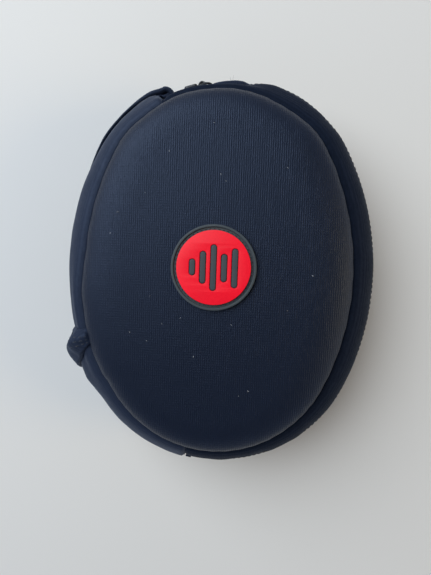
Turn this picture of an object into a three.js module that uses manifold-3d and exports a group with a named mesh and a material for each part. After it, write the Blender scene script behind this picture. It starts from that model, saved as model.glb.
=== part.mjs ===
// Headphone carrying case: an oval clamshell of moulded foam, covered in knit fabric.
// Millimetres, +Z up. The case lies on its back, with the back panel on z = 0 and the badge on top.
// The zip slider is parked at the +Y end, and the spine and the carrying strap are on the -X side.
import * as THREE from "three";
import { mergeVertices } from "three/addons/utils/BufferGeometryUtils.js";
import Module from "manifold-3d";

const wasm = await Module();
wasm.setup();

// ---- Driving dimensions -------------------------------------------------------------------

// The outline at the zip is a ring of tangent arcs. An arc ends where the outline's outward
// normal reaches the stated angle, counted from +X.
const HALF_WIDTH = 74.4;
const SIDE_RADIUS = 129;
const CROWN_RADIUS = 74;
const UPPER_SIDE_END = 28.7;
const CROWN_START = 50;
const LOWER_SIDE_END = 24.5;

// Heights are counted from the zip's plane, and insets inwards from the outline.
const HALF_DEPTH = 30;
const WALL_DEPTH = 4;            // from here inwards, the ends are steeper than the sides
const END_TIGHTENING = 0.25;     // share of the inset that the ends lose
const COLUMN_STEP = 9;           // degrees between the columns of a swept piece
const GAP = 0.3;                 // between pieces that are sewn or glued together

// The outer line of one half, from the zip to the flat middle of the panel: [inset, height].
const GUSSET_LINE = [[0.4, 8.2], [0.8, 11.5], [2.8, 15.2], [6.6, 18.6], [11.6, 21]];
const PANEL_LINE = [[12.2, 21.6], [12.5, 23.6], [14.6, 26.2], [18.6, 28.3], [24, 29.5], [30, HALF_DEPTH]];
const FABRIC = 1.2;
const FOAM_DEPTH = 2;            // from the outer line to the foam
const FOAM = 3.2;
const LINING_DEPTH = FOAM_DEPTH + FOAM + GAP;
const LINING = 0.8;

// Round the outline: the spine takes the -X side, and the zip takes the rest.
const SPINE_START = 114.5;
const SPINE_END = 257;
const ZIP_START = -101.8;
const ZIP_END = 113.3;

// The spine, a padded strip that is sewn to both panels: [inset, height] of its upper half.
const SPINE_LINE = [[-1.3, 2.5], [-1, 8], [0.6, 13], [3.4, 17], [7.2, 19.9], [11.8, 21.6]];
const SPINE_THICKNESS = 1.9;

// Zip, as [inset, height] ranges of one half.
const COIL_INSET = [0.9, 2.7];
const COIL_HEIGHT = [0.6, 3];
const TAPE_INSET = [1.2, 2];
const TAPE_HEIGHT = [3.3, 7.6];
const STOP_TURN = 1.2;           // degrees that a zip stop takes

// Slider and pull. The slider is parked near the zip's end, on the crown arc.
const SLIDER_ANGLE = 101.8;
const SLIDER_LENGTH = 10.5;
const SLIDER_WIDTH = 9;
const BAIL_OFFSET = 3.4;         // of the pull's pivot from the slider's middle
const RING_RADIUS = 2.5;
const RING_WIRE = 0.5;
const TAB_TURN = [95.6, 81];     // the fabric tab lies along the crown between these angles
const TAB_HEIGHT = 9.5;

// Carrying strap, and its end that wraps over the spine.
const STRAP_START = 111.5;
const STRAP_END = 192.9;
const STRAP_RISE = [160, 122];   // it lies flat on the spine before this, and stands clear after
const WRAP_START = 193.5;
const WRAP_END = 201.5;
const WRAP_THICKNESS = 1.4;
const WRAP_BULGE = 3.2;         // added to the thickness in the middle of the wrap

// Badge, a moulded rubber patch.
const BADGE_CENTRE = [-0.5, 3.5];
const BADGE_RADIUS = 19;
const BADGE_PLATE = 0.8;
const RIM_WIDTH = 1.4;
const RIM_HEIGHT = 1.9;
const DISC_RADIUS = 16.5;
const DISC_THICKNESS = 0.8;
const BAR_HEIGHTS = [7, 14, 20, 12, 17];
const BAR_WIDTH = 2.4;
const BAR_PITCH = 4.7;
const BAR_TOP = 2.2;

// ---- Materials ----------------------------------------------------------------------------

function material(color, roughness, metalness = 0) {
  return new THREE.MeshStandardMaterial({ color, roughness, metalness });
}

const knit = material(0x2b3142, 0.95);
const paddedKnit = material(0x333b4d, 0.9);
const webbing = material(0x1b202b, 0.9);
const foam = material(0x17181b, 0.95);
const liningCloth = material(0x22242a, 0.9);
const zipCloth = material(0x14161c, 0.85);
const zipPlastic = material(0x0e0f13, 0.45);
const darkMetal = material(0x2a2c30, 0.35, 0.9);
const greyRubber = material(0x353c44, 0.6);
const redRubber = material(0xe8142f, 0.45);

// ---- The outline --------------------------------------------------------------------------

const radians = THREE.MathUtils.degToRad;
const cosine = (angle) => Math.cos(radians(angle));
const sine = (angle) => Math.sin(radians(angle));

// The shoulder and foot radii follow from the half width.
function outlineArcs() {
  const sideSag = SIDE_RADIUS * (1 - cosine(UPPER_SIDE_END));
  const crownReach = CROWN_RADIUS * cosine(CROWN_START);
  const shoulderSpan = cosine(UPPER_SIDE_END) - cosine(CROWN_START);
  const shoulder = (HALF_WIDTH - sideSag - crownReach) / shoulderSpan;
  const footSag = SIDE_RADIUS * (1 - cosine(LOWER_SIDE_END));
  const foot = (HALF_WIDTH - footSag) / cosine(LOWER_SIDE_END);
  const arcs = [
    [UPPER_SIDE_END, SIDE_RADIUS],
    [CROWN_START, shoulder],
    [180 - CROWN_START, CROWN_RADIUS],
    [180 - UPPER_SIDE_END, shoulder],
    [180 + LOWER_SIDE_END, SIDE_RADIUS],
    [360 - LOWER_SIDE_END, foot],
    [360, SIDE_RADIUS],
  ];
  let point = [HALF_WIDTH, 0];
  let start = 0;
  return arcs.map(([end, radius]) => {
    const centre = [point[0] - radius * cosine(start), point[1] - radius * sine(start)];
    point = [centre[0] + radius * cosine(end), centre[1] + radius * sine(end)];
    start = end;
    return { end, radius, centre };
  });
}

const ARCS = outlineArcs();
const CROWN_CENTRE = ARCS[2].centre;

// The point of the outline with this outward normal, moved inwards by the inset.
function outlinePoint(angle, inset) {
  const turn = THREE.MathUtils.euclideanModulo(angle, 360);
  const arc = ARCS.find(({ end }) => turn <= end);
  const deep = Math.max(inset - WALL_DEPTH, 0);
  const reach = arc.radius - inset + deep * END_TIGHTENING * sine(turn) ** 2;
  return [arc.centre[0] + reach * cosine(turn), arc.centre[1] + reach * sine(turn)];
}

// The angles of a swept piece's columns: its two ends, and the whole steps between them.
function columnAngles(from, to, step) {
  const angles = [from];
  for (let k = Math.floor(from / step) + 1; k * step < to - 0.5; k++) {
    if (k * step > from + 0.5) angles.push(k * step);
  }
  if (to - from < 360) angles.push(to);
  return angles;
}

// ---- Solids -------------------------------------------------------------------------------

function signedVolume(points, faces) {
  const corner = (i) => new THREE.Vector3(...points[i]);
  return faces.reduce((sum, [a, b, c]) => sum + corner(a).dot(corner(b).cross(corner(c))) / 6, 0);
}

// A closed geometry from points and triangles that agree in direction, turned to face outwards.
function closedGeometry(points, faces) {
  const outward = signedVolume(points, faces) > 0;
  const index = faces.flatMap(([a, b, c]) => (outward ? [a, b, c] : [a, c, b]));
  const geometry = new THREE.BufferGeometry();
  geometry.setAttribute("position", new THREE.Float32BufferAttribute(points.flat(), 3));
  geometry.setIndex(index);
  return geometry;
}

function quad(a, b, c, d) {
  return [[a, b, c], [a, c, d]];
}

// Joins columns of points, each a closed section, into a tube with flat ends, or into a ring.
function loft(columns, ring) {
  const size = columns[0].length;
  const faces = [];
  const spans = ring ? columns.length : columns.length - 1;
  for (let i = 0; i < spans; i++) {
    const here = i * size;
    const next = ((i + 1) % columns.length) * size;
    for (let k = 0; k < size; k++) {
      const after = (k + 1) % size;
      faces.push(...quad(here + k, next + k, next + after, here + after));
    }
  }
  return { points: columns.flat(), faces };
}

// The triangles of a section, in the direction of its own corners.
function fillSection(section) {
  const corners = section.map((corner) => new THREE.Vector2(...corner));
  const clockwise = THREE.ShapeUtils.isClockWise(corners);
  return THREE.ShapeUtils.triangulateShape(corners, []).map(([a, b, c]) => {
    const agrees = THREE.ShapeUtils.isClockWise([corners[a], corners[b], corners[c]]) === clockwise;
    return agrees ? [a, b, c] : [a, c, b];
  });
}

// Sweeps a closed section of [inset, height] corners round the outline. The section may
// change with the angle, but not its number of corners.
function sweep(sectionAt, from, to, step = COLUMN_STEP) {
  const ring = to - from >= 360;
  const angles = columnAngles(from, to, step);
  const sections = angles.map(sectionAt);
  const columns = sections.map((section, i) =>
    section.map(([inset, height]) => [...outlinePoint(angles[i], inset), HALF_DEPTH + height]));
  const { points, faces } = loft(columns, ring);
  if (!ring) {
    const last = points.length - sections[0].length;
    faces.push(...fillSection(sections[0]));
    faces.push(...fillSection(sections.at(-1)).map(([a, b, c]) => [last + a, last + c, last + b]));
  }
  return closedGeometry(points, faces);
}

// A dish: an outer and an inner line of [inset, height] corners swept a full turn, each
// closed by a flat middle.
function dish(outer, inner) {
  const chain = [...outer.toReversed(), ...inner];
  const angles = columnAngles(0, 360, COLUMN_STEP);
  const points = angles.flatMap((angle) =>
    chain.map(([inset, height]) => [...outlinePoint(angle, inset), HALF_DEPTH + height]));
  const outerMiddle = points.length;
  const innerMiddle = outerMiddle + 1;
  points.push([0, 0, HALF_DEPTH + chain[0][1]], [0, 0, HALF_DEPTH + chain.at(-1)[1]]);
  const faces = [];
  for (let i = 0; i < angles.length; i++) {
    const here = i * chain.length;
    const next = ((i + 1) % angles.length) * chain.length;
    for (let k = 0; k < chain.length - 1; k++) {
      faces.push(...quad(here + k, next + k, next + k + 1, here + k + 1));
    }
    faces.push([outerMiddle, next, here]);
    faces.push([innerMiddle, here + chain.length - 1, next + chain.length - 1]);
  }
  return closedGeometry(points, faces);
}

// Moves a line of [inset, height] corners towards the inside of the case.
function inward(line, distance) {
  return line.map(([inset, height], i) => {
    const before = line[Math.max(i - 1, 0)];
    const after = line[Math.min(i + 1, line.length - 1)];
    const run = after[0] - before[0];
    const rise = after[1] - before[1];
    const length = Math.hypot(run, rise);
    return [inset + (distance * rise) / length, height - (distance * run) / length];
  });
}

// The section between two depths of a line.
function layer(line, from, to) {
  return [...inward(line, from), ...inward(line, to).toReversed()];
}

function rectangle([insetFrom, insetTo], [low, high]) {
  return [[insetFrom, low], [insetTo, low], [insetTo, high], [insetFrom, high]];
}

// The lid is side +1 and the base is side -1: the base is the lid's shape turned over.
function onSide(line, side) {
  return line.map(([inset, height]) => [inset, side * height]);
}

// The triangles whose three corners differ. Merged corners flatten the ones on a shape's seam.
function realTriangles(index) {
  const kept = [];
  for (let i = 0; i < index.length; i += 3) {
    const [a, b, c] = index.slice(i, i + 3);
    if (a !== b && b !== c && c !== a) kept.push(a, b, c);
  }
  return kept;
}

function toSolid(geometry) {
  const bare = geometry.index ? geometry.clone() : geometry;
  bare.deleteAttribute("normal");
  bare.deleteAttribute("uv");
  const merged = mergeVertices(bare, 1e-4);
  return new wasm.Manifold(new wasm.Mesh({
    numProp: 3,
    vertProperties: new Float32Array(merged.attributes.position.array),
    triVerts: new Uint32Array(realTriangles(merged.index.array)),
  }));
}

function fromSolid(solid) {
  const result = solid.getMesh();
  const geometry = new THREE.BufferGeometry();
  geometry.setAttribute("position", new THREE.Float32BufferAttribute(result.vertProperties, 3));
  geometry.setIndex(Array.from(result.triVerts));
  return geometry;
}

function join(geometries) {
  return fromSolid(geometries.map(toSolid).reduce((whole, piece) => whole.add(piece)));
}

function cut(geometry, tools) {
  return fromSolid(tools.map(toSolid).reduce((whole, tool) => whole.subtract(tool), toSolid(geometry)));
}

// ---- Object -------------------------------------------------------------------------------

const carryingCase = new THREE.Group();

function addPart(name, geometry, look, parent = carryingCase) {
  const part = new THREE.Mesh(geometry, look);
  part.name = name;
  parent.add(part);
  return part;
}

// ---- The two halves -----------------------------------------------------------------------

function panel(side) {
  return dish(onSide(PANEL_LINE, side), onSide(inward(PANEL_LINE, FABRIC), side));
}

function gusset(side) {
  return sweep(() => onSide(layer(GUSSET_LINE, 0, FABRIC), side), ZIP_START, ZIP_END);
}

// The foam and the lining follow the main corners of the outer line.
function shell(side, depth, thickness) {
  const line = [...GUSSET_LINE.slice(0, 3), [11.9, 21.3], PANEL_LINE[2], PANEL_LINE[3], PANEL_LINE[5]];
  return dish(onSide(inward(line, depth), side), onSide(inward(line, depth + thickness), side));
}

// A tape bound round the inner edge, below the foam's rim.
function binding(side) {
  return sweep(() => onSide(rectangle([2.9, 6.4], [6, 7.2]), side), 0, 360);
}

function zipTape(side) {
  return sweep(() => onSide(rectangle(TAPE_INSET, TAPE_HEIGHT), side), ZIP_START, ZIP_END - 1);
}

function zipCoil(side) {
  const start = ZIP_START + 2 * STOP_TURN;
  const end = SLIDER_ANGLE + 5.1;
  return sweep(() => onSide(rectangle(COIL_INSET, COIL_HEIGHT), side), start, end);
}

function topStop(side) {
  const start = SLIDER_ANGLE + 5.4;
  const section = rectangle([COIL_INSET[0] - 0.3, COIL_INSET[1] + 0.3], [0.4, 3]);
  return sweep(() => onSide(section, side), start, start + STOP_TURN);
}

for (const [name, side] of [["front", 1], ["back", -1]]) {
  addPart(`${name}_panel`, panel(side), knit);
  addPart(`${name}_gusset`, gusset(side), knit);
  addPart(`${name}_foam_shell`, shell(side, FOAM_DEPTH, FOAM), foam);
  addPart(`${name}_lining`, shell(side, LINING_DEPTH, LINING), liningCloth);
  addPart(`${name}_binding`, binding(side), webbing);
  addPart(`${name}_zip_tape`, zipTape(side), zipCloth);
  addPart(`${name}_zip_coil`, zipCoil(side), zipPlastic);
  addPart(`${name}_top_stop`, topStop(side), darkMetal);
}

// ---- Zip ends -----------------------------------------------------------------------------

function bottomStop() {
  const section = rectangle([COIL_INSET[0] - 0.3, COIL_INSET[1] + 0.3], [-2.9, 2.9]);
  return sweep(() => section, ZIP_START + 0.4, ZIP_START + 0.4 + STOP_TURN);
}

function zipEndTab() {
  return sweep(() => rectangle([-0.9, 0.3], [-6.5, 6.5]), ZIP_START, ZIP_START + 4);
}

addPart("zip_bottom_stop", bottomStop(), darkMetal);
addPart("zip_end_tab", zipEndTab(), webbing);

// ---- Spine --------------------------------------------------------------------------------

const WHOLE_SPINE_LINE = [...onSide(SPINE_LINE, -1).toReversed(), ...SPINE_LINE];

function spinePanel() {
  return sweep(() => layer(WHOLE_SPINE_LINE, 0, SPINE_THICKNESS), SPINE_START, SPINE_END);
}

function spineLining() {
  return sweep(() => rectangle([1.2, 2], [-7.2, 7.2]), SPINE_START, SPINE_END);
}

addPart("spine_panel", spinePanel(), paddedKnit);
addPart("spine_lining", spineLining(), liningCloth);

// ---- Carrying strap -----------------------------------------------------------------------

// The strap's section: tilted to lie on the spine's lower half, then upright and doubled
// where it stands clear at its upper end.
function strapSection(angle) {
  const lift = THREE.MathUtils.smoothstep(STRAP_RISE[0] - angle, 0, STRAP_RISE[0] - STRAP_RISE[1]);
  const mix = (flat, raised) => THREE.MathUtils.lerp(flat, raised, lift);
  const top = mix(-5, 8);
  const middle = mix(-11, 0);
  const bottom = mix(-17, -8);
  return [
    [mix(-3.3, -5.6), top],
    [mix(-2.3, -5.6), middle],
    [mix(1, -5.6), bottom],
    [mix(2.6, -3.2), bottom],
    [mix(-0.7, -3.2), middle],
    [mix(-1.7, -3.2), top],
  ];
}

// The end of the strap goes up over the spine and into the front panel's seam, doubled up in
// the middle of its width.
function strapWrap() {
  const line = WHOLE_SPINE_LINE.slice(2);
  return sweep(
    (angle) => {
      const bulge = WRAP_BULGE * sine(180 * (angle - WRAP_START) / (WRAP_END - WRAP_START));
      return layer(line, -GAP, -GAP - WRAP_THICKNESS - bulge);
    },
    WRAP_START,
    WRAP_END,
    1.6,
  );
}

addPart("handle_strap", sweep(strapSection, STRAP_START, STRAP_END), webbing);
addPart("handle_end_wrap", strapWrap(), webbing);

// ---- Slider and pull ----------------------------------------------------------------------

// In the slider's own frame, x runs along the zip, y points out of the case, and z is the
// case's own. The origin is on the outline.
const sliderFrame = new THREE.Group();
sliderFrame.rotation.z = radians(SLIDER_ANGLE - 90);
sliderFrame.position.set(
  CROWN_CENTRE[0] + CROWN_RADIUS * cosine(SLIDER_ANGLE),
  CROWN_CENTRE[1] + CROWN_RADIUS * sine(SLIDER_ANGLE),
  HALF_DEPTH,
);
carryingCase.add(sliderFrame);

const PLATE_BOTTOM = -0.6;
const PLATE_TOP = 0.9;
const BAIL_RISE = 2.6;
const PIVOT_HEIGHT = PLATE_TOP + 1.1;

// Extrudes a shape of the slider's own x-y plane to both sides of the zip's plane.
function acrossZip(shape, width) {
  const geometry = new THREE.ExtrudeGeometry(shape, { depth: width, bevelEnabled: false, curveSegments: 6 });
  geometry.translate(0, 0, -width / 2);
  return geometry;
}

function outerPlate() {
  const half = SLIDER_LENGTH / 2;
  const shape = new THREE.Shape();
  shape.moveTo(-half, PLATE_BOTTOM);
  shape.lineTo(half, PLATE_BOTTOM);
  shape.lineTo(half, PLATE_BOTTOM + 0.7);
  shape.quadraticCurveTo(half, PLATE_TOP, half - 1.5, PLATE_TOP);
  shape.lineTo(-half + 2, PLATE_TOP);
  shape.quadraticCurveTo(-half, PLATE_TOP, -half, PLATE_BOTTOM + 0.7);
  shape.closePath();
  return acrossZip(shape, SLIDER_WIDTH);
}

// An arch on the plate, drilled for the pull's ring.
function bail() {
  const reach = 1.8;
  const shape = new THREE.Shape();
  shape.moveTo(BAIL_OFFSET - reach, PLATE_TOP - 0.2);
  shape.bezierCurveTo(
    BAIL_OFFSET - reach, PLATE_TOP + BAIL_RISE * 1.3,
    BAIL_OFFSET + reach, PLATE_TOP + BAIL_RISE * 1.3,
    BAIL_OFFSET + reach, PLATE_TOP - 0.2,
  );
  shape.closePath();
  const drill = new THREE.CylinderGeometry(1, 1, 4, 16);
  drill.rotateX(Math.PI / 2);
  drill.translate(BAIL_OFFSET, PIVOT_HEIGHT, 0);
  return cut(acrossZip(shape, 2.4), [drill]);
}

function zipSlider() {
  const post = new THREE.BoxGeometry(5, 3.4, 0.6);
  post.translate(-1, -2.1, 0);
  const innerPlate = new THREE.BoxGeometry(SLIDER_LENGTH - 0.5, 1.1, SLIDER_WIDTH - 1);
  innerPlate.translate(0, -3.95, 0);
  return join([outerPlate(), bail(), post, innerPlate]);
}

// A round wire ring through the bail. It stands across the zip, so it swings about z.
function pullRing(wire) {
  const ring = new THREE.TorusGeometry(RING_RADIUS, wire, 8, 24);
  ring.rotateX(Math.PI / 2);
  ring.translate(BAIL_OFFSET + RING_RADIUS, PIVOT_HEIGHT, 0);
  ring.applyMatrix4(ringLean());
  return ring;
}

// The ring leans towards the case, about the pull's pivot.
function ringLean() {
  const lean = radians(-8);
  return new THREE.Matrix4()
    .makeTranslation(BAIL_OFFSET, PIVOT_HEIGHT, 0)
    .multiply(new THREE.Matrix4().makeRotationZ(lean))
    .multiply(new THREE.Matrix4().makeTranslation(-BAIL_OFFSET, -PIVOT_HEIGHT, 0));
}

// A folded fabric tab along the crown, with a channel for the ring's far side.
function pullTab() {
  const section = rectangle([-3, -0.5], [-TAB_HEIGHT / 2, TAB_HEIGHT / 2]);
  const tab = sweep(() => section, TAB_TURN[1], TAB_TURN[0]);
  sliderFrame.updateMatrixWorld(true);
  const channel = pullRing(RING_WIRE + GAP).applyMatrix4(sliderFrame.matrixWorld);
  return cut(tab, [channel]);
}

addPart("zip_slider", zipSlider(), darkMetal, sliderFrame);
addPart("pull_ring", pullRing(RING_WIRE), darkMetal, sliderFrame);
addPart("pull_tab", pullTab(), webbing);

// ---- Badge --------------------------------------------------------------------------------

const BADGE_BOTTOM = 2 * HALF_DEPTH + GAP;

function badgeDisc(radius, low, high) {
  const geometry = new THREE.CylinderGeometry(radius, radius, high - low, 48);
  geometry.rotateX(Math.PI / 2);
  geometry.translate(...BADGE_CENTRE, (low + high) / 2);
  return geometry;
}

// Upright round-ended bars of different heights, a plain sound-level sign.
function bars(width, low, high) {
  return BAR_HEIGHTS.map((height, i) => {
    const x = BADGE_CENTRE[0] + (i - (BAR_HEIGHTS.length - 1) / 2) * BAR_PITCH;
    const reach = (height - BAR_WIDTH) / 2;
    const shape = new THREE.Shape();
    shape.absarc(x, BADGE_CENTRE[1] + reach, width / 2, 0, Math.PI);
    shape.absarc(x, BADGE_CENTRE[1] - reach, width / 2, Math.PI, 2 * Math.PI);
    shape.closePath();
    const depth = high - low;
    const bar = new THREE.ExtrudeGeometry(shape, { depth, bevelEnabled: false, curveSegments: 6 });
    bar.translate(0, 0, low);
    return bar;
  });
}

function badgeBase() {
  const plateTop = BADGE_BOTTOM + BADGE_PLATE;
  const plate = badgeDisc(BADGE_RADIUS, BADGE_BOTTOM, plateTop);
  const collar = badgeDisc(BADGE_RADIUS, plateTop - 0.2, BADGE_BOTTOM + RIM_HEIGHT);
  const bore = badgeDisc(BADGE_RADIUS - RIM_WIDTH, plateTop - 0.4, BADGE_BOTTOM + RIM_HEIGHT + 1);
  const rim = cut(collar, [bore]);
  return join([plate, rim, ...bars(BAR_WIDTH, plateTop - 0.2, BADGE_BOTTOM + BAR_TOP)]);
}

function badgeInlay() {
  const low = BADGE_BOTTOM + BADGE_PLATE + GAP;
  const high = low + DISC_THICKNESS;
  return cut(badgeDisc(DISC_RADIUS, low, high), bars(BAR_WIDTH + 2 * GAP, low - 1, high + 1));
}

addPart("badge_base", badgeBase(), greyRubber);
addPart("badge_inlay", badgeInlay(), redRubber);

export default carryingCase;
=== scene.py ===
"""The looks of a headphone carrying case, built round the fixed frame of its CAD model.

Metres, +Z up. The case lies on its back with the badge on top. The outline at the zip is a ring
of tangent arcs, and every sewn piece is a section swept round it. A section's corners are given
in millimetres, as an inset from the outline and a height from the zip's plane.
"""
import math
import random

import bmesh
import bpy
from mathutils import Matrix, Vector, noise


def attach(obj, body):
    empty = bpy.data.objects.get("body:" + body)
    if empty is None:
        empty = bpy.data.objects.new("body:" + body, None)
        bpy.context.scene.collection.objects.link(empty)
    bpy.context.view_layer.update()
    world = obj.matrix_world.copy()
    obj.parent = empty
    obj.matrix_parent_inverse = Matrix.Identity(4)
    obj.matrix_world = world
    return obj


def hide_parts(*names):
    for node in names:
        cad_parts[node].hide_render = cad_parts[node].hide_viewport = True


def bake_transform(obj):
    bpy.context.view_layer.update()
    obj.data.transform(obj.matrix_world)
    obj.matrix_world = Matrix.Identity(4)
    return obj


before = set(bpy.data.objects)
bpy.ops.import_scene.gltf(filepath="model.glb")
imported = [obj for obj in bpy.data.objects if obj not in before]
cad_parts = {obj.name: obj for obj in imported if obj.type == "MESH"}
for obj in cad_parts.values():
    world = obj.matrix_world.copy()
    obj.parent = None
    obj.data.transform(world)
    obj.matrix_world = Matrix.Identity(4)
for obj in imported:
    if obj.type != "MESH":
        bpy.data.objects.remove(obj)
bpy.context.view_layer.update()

MM = 0.001

# ---- Sizes shared with the CAD model, in millimetres and degrees ----

HALF_WIDTH = 74.4
SIDE_RADIUS = 129
CROWN_RADIUS = 74
UPPER_SIDE_END = 28.7
CROWN_START = 50
LOWER_SIDE_END = 24.5
HALF_DEPTH = 30
WALL_DEPTH = 4
END_TIGHTENING = 0.25

GUSSET_LINE = [(0.4, 8.2), (0.8, 11.5), (2.8, 15.2), (6.6, 18.6), (11.6, 21)]
PANEL_LINE = [(12.2, 21.6), (12.5, 23.6), (14.6, 26.2), (18.6, 28.3), (24, 29.5), (30, 30)]
FABRIC = 1.2
FOAM_DEPTH = 2
FOAM = 3.2
LINING_DEPTH = 5.5
LINING = 0.8

SPINE_START = 114.5
SPINE_END = 257
ZIP_START = -101.8
ZIP_END = 113.3
SLIDER_ANGLE = 101.8
BAIL_OFFSET = 3.4
PIVOT_HEIGHT = 2
RING_RADIUS = 2.5
TAB_START = 81
TAB_END = 95.6

BADGE_CENTRE = (-0.5, 3.5)
BADGE_RADIUS = 19
DISC_RADIUS = 16.5
BAR_HEIGHTS = [7, 14, 20, 12, 17]
BAR_WIDTH = 2.4
BAR_PITCH = 4.7

HALVES = (("front", 1, "lid"), ("back", -1, "base"))

# ---- Sizes used only for the looks ----

COVER_OVERLAP = 1.6    # degrees that the gussets and the spine run past their ends in the CAD
DISH_REACH = 36        # from here inwards a dish's rings shrink towards its middle
STRAP_START = 113.2
STRAP_END = 193.4
STRAP_STEPS = 12
CURL_RADIUS = 3.2
CURL_SWING = 104
CURL_STEPS = 14
WRAP_HUMP = 4.9
WRAP_LINE = [(1.9, -16), (-0.6, -11), (-1.5, -5), (-1.6, 0), (-1.5, 2.5), (-1.4, 8), (0.1, 13),
             (3.0, 17.2), (7.0, 20.2), (10.6, 21.5), (12.2, 21.3)]
STITCH_RADIUS = 17.1   # of the ring of stitches in the badge's groove
STITCH_COUNT = 54

# ---- Node helpers ----


class Nodes:
    """A material's node tree, with short calls for the nodes that the fabrics need."""

    def __init__(self, name):
        self.material = bpy.data.materials.new(name)
        self.material.use_nodes = True
        self.tree = self.material.node_tree
        self.shader = self.tree.nodes["Principled BSDF"]

    def add(self, kind, inputs=(), **settings):
        node = self.tree.nodes.new(kind)
        for key, value in settings.items():
            setattr(node, key, value)
        for key, value in dict(inputs).items():
            if isinstance(value, bpy.types.NodeSocket):
                self.tree.links.new(value, node.inputs[key])
            else:
                node.inputs[key].default_value = value
        return node

    def link(self, socket, name):
        self.tree.links.new(socket, self.shader.inputs[name])

    def set(self, **values):
        for key, value in values.items():
            self.shader.inputs[key.replace("_", " ")].default_value = value

    def place(self, scale=(1, 1, 1), turn=(0, 0, 0)):
        """Object coordinates, in metres, scaled and turned."""
        coordinates = self.add("ShaderNodeTexCoord").outputs["Object"]
        inputs = {"Vector": coordinates, "Scale": scale, "Rotation": turn}
        return self.add("ShaderNodeMapping", inputs).outputs["Vector"]

    def noise(self, vector, scale, detail=2, roughness=0.5):
        inputs = {"Vector": vector, "Scale": scale, "Detail": detail, "Roughness": roughness}
        return self.add("ShaderNodeTexNoise", inputs).outputs["Fac"]

    def stripes(self, vector, scale, axis, distortion=0.0):
        inputs = {"Vector": vector, "Scale": scale, "Distortion": distortion, "Detail": 1.0}
        node = self.add("ShaderNodeTexWave", inputs, wave_type="BANDS", bands_direction=axis)
        return node.outputs["Fac"]

    def math(self, operation, a, b):
        return self.add("ShaderNodeMath", {0: a, 1: b}, operation=operation).outputs[0]

    def weigh(self, a, share_a, b, share_b):
        """a and b added up, each times its share."""
        first = self.math("MULTIPLY", a, share_a)
        return self.math("ADD", first, self.math("MULTIPLY", b, share_b))

    def ramp(self, value, stops):
        node = self.add("ShaderNodeValToRGB", {"Fac": value})
        elements = node.color_ramp.elements
        while len(elements) < len(stops):
            elements.new(0.5)
        for element, (position, color) in zip(elements, stops):
            element.position = position
            element.color = (*color, 1)
        return node.outputs["Color"]

    def bump(self, height, strength, distance, below=None):
        inputs = {"Height": height, "Strength": strength, "Distance": distance}
        if below is not None:
            inputs["Normal"] = below
        return self.add("ShaderNodeBump", inputs).outputs["Normal"]


LOOKS = {}    # every material by its name, filled in by the four functions below


def shade(color, factor):
    """The colour, darker or lighter."""
    return tuple(min(channel * factor, 1) for channel in color)


def wave_scale(pitch):
    """The wave texture's scale for bands this many millimetres apart."""
    return 2 * math.pi / (20 * pitch * MM)


def knit(name, color, pitch, direction, depth, sheen=0.1, contrast=0.3, rough=0.5, gloss=0.5):
    """A jersey knit: wales that come and go along their length, broken into stitches."""
    n = Nodes(name)
    place = n.place()
    along = {"X": (1, 0.3, 1), "Z": (0.4, 0.4, 1)}[direction]
    bands = wave_scale(pitch)
    wales = n.stripes(place, bands, direction, 1.6)
    courses = n.stripes(place, bands * 0.83, "Y" if direction == "X" else "X", 1.5)
    streaks = n.noise(n.place(along), 1300, 2, 0.6)
    fuzz = n.noise(place, 2600, 3, 0.7)
    patches = n.noise(n.place(along), 330, 3, 0.6)
    clear = n.math("MULTIPLY", wales, patches)
    loops = n.weigh(clear, 0.9, courses, 0.15)
    thread = n.weigh(loops, 0.5, streaks, 0.5)
    tone = n.weigh(thread, 0.65, fuzz, 0.35)
    dark = shade(color, 1 - contrast)
    light = shade(color, 1 + contrast)
    n.link(n.ramp(tone, [(0.25, dark), (0.42, color), (0.6, light)]), "Base Color")
    n.link(n.ramp(tone, [(0.3, (rough + 0.16,) * 3), (0.55, (rough - 0.06,) * 3)]), "Roughness")
    coarse = n.bump(thread, 0.7, depth * MM)
    n.link(n.bump(fuzz, 0.45, depth * 0.6 * MM, coarse), "Normal")
    n.set(Specular_IOR_Level=gloss, Specular_Tint=(0.5, 0.65, 1, 1))
    n.set(Sheen_Weight=sheen, Sheen_Roughness=0.5, Sheen_Tint=(0.45, 0.58, 0.85, 1))
    LOOKS[name] = n.material


def woven(name, color, pitch, depth, sheen=0.2):
    """A plain weave or a tape: warp and weft a thread apart."""
    n = Nodes(name)
    place = n.place()
    bands = wave_scale(pitch)
    warp = n.stripes(place, bands, "Z", 0.3)
    weft = n.stripes(place, bands, "DIAGONAL", 0.5)
    fuzz = n.noise(place, 3000, 2, 0.6)
    height = n.weigh(warp, 0.5, weft, 0.5)
    tone = n.weigh(height, 0.6, fuzz, 0.4)
    n.link(n.ramp(tone, [(0.2, shade(color, 0.6)), (0.8, shade(color, 1.5))]), "Base Color")
    n.link(n.bump(tone, 0.6, depth * MM), "Normal")
    n.set(Roughness=0.9, Sheen_Weight=sheen, Sheen_Roughness=0.5, Specular_IOR_Level=0.25)
    LOOKS[name] = n.material


def moulded(name, color, roughness, grain, depth, specular=0.5):
    """Moulded rubber, foam or plastic: a fine grain and a little colour variation."""
    n = Nodes(name)
    place = n.place()
    fine = n.noise(place, grain, 3, 0.6)
    broad = n.noise(place, grain / 30, 2, 0.5)
    tone = n.weigh(fine, 0.4, broad, 0.6)
    n.link(n.ramp(tone, [(0.3, shade(color, 0.88)), (0.7, shade(color, 1.1))]), "Base Color")
    low = max(roughness - 0.08, 0.02)
    high = min(roughness + 0.1, 1)
    n.link(n.ramp(fine, [(0.3, (low,) * 3), (0.7, (high,) * 3)]), "Roughness")
    n.link(n.bump(fine, 0.3, depth * MM), "Normal")
    n.set(Specular_IOR_Level=specular)
    LOOKS[name] = n.material


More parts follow.
